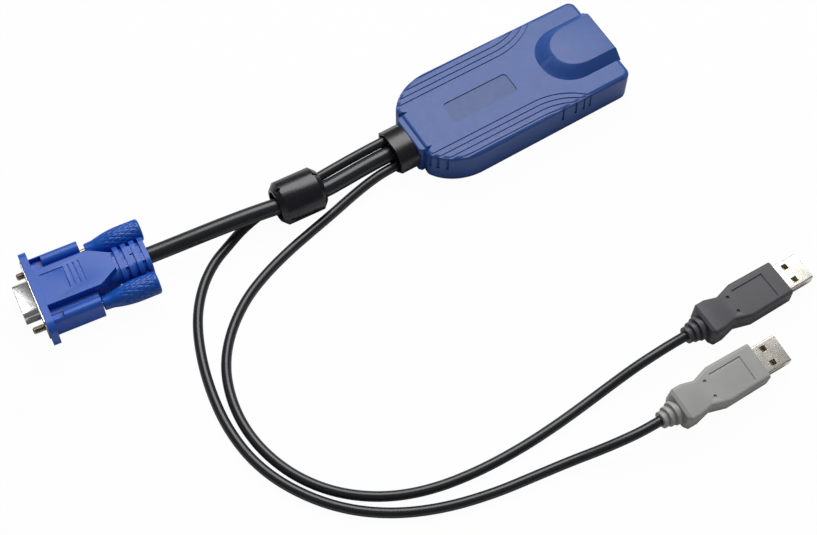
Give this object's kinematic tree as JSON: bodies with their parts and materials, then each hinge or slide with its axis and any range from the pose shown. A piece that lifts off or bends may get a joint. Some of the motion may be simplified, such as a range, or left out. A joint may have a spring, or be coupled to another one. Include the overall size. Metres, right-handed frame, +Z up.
{
  "type": "kvm interface dongle",
  "caption": "KVM interface dongle: blue housing with a network jack, cable collar, clip-on ferrite, video plug and USB plugs on short cords.",
  "frame": {"origin": "middle of the housing's underside", "axes": "+X from the cable collar to the network jack, +Y to the housing's side away from the USB plugs, +Z up"},
  "size_m": [0.2686, 0.1949, 0.019],
  "materials": {
    "housing_blue": "fine moulded texture",
    "screw_steel": "zinc plated",
    "board_green": "solder mask",
    "chip_black": "moulded resin",
    "header_white": "moulded",
    "jack_black": "moulded",
    "shield_metal": "tin plated",
    "gold_plate": "gold plated",
    "collar_black": "matte moulding",
    "cord_black": "smooth, glossy jacket",
    "ferrite_plastic": "moulded",
    "ferrite_ceramic": "sintered",
    "video_blue": "satin moulding",
    "video_plate": "nickel plated",
    "insulator_black": "moulded",
    "knob_blue": "satin moulding",
    "thumbscrew_metal": "nickel plated brass",
    "usb_dark_grey": "satin moulding",
    "usb_light_grey": "satin moulding",
    "usb_plate": "nickel plated",
    "tongue_white": "moulded"
  },
  "bodies": {
    "module": {"housing_top": "housing_blue", "housing_bottom": "housing_blue", "housing_screws": "screw_steel", "circuit_board": "board_green", "interface_chips": "chip_black", "cable_header": "header_white", "jack_body": "jack_black", "jack_shield": "shield_metal", "jack_contacts": "gold_plate", "cable_collar": "collar_black", "video_cord": "cord_black", "usb_cord_grey": "cord_black", "usb_cord_black": "cord_black", "ferrite_case_lower": "ferrite_plastic", "ferrite_core_lower": "ferrite_ceramic", "video_hood": "video_blue", "video_shell": "video_plate", "video_insulator": "insulator_black", "video_pins": "gold_plate", "black_grip": "usb_dark_grey", "black_shell": "usb_plate", "black_tongue": "tongue_white", "black_contacts": "gold_plate", "grey_grip": "usb_light_grey", "grey_shell": "usb_plate", "grey_tongue": "tongue_white", "grey_contacts": "gold_plate"},
    "ferrite_lid": {"ferrite_case_upper": "ferrite_plastic", "ferrite_core_upper": "ferrite_ceramic"},
    "near_thumbscrew": {"near_knob": "knob_blue", "near_screw": "thumbscrew_metal"},
    "far_thumbscrew": {"far_knob": "knob_blue", "far_screw": "thumbscrew_metal"}
  },
  "joints": [
    {"name": "ferrite_hinge", "type": "hinge", "parent": "module", "child": "ferrite_lid", "pos_m": [-0.09545, 0.0109, 0.00606], "axis": [-0.9983, 0.0576, 0], "range_deg": [0, 105]},
    {"name": "near_thumbscrew_turn", "type": "hinge", "parent": "module", "child": "near_thumbscrew", "pos_m": [-0.17698, -0.00241, 0.00854], "axis": [0.9911, -0.1287, 0.0349], "continuous": true},
    {"name": "far_thumbscrew_turn", "type": "hinge", "parent": "module", "child": "far_thumbscrew", "pos_m": [-0.17376, 0.02238, 0.00854], "axis": [0.9911, -0.1287, 0.0349], "continuous": true}
  ]
}
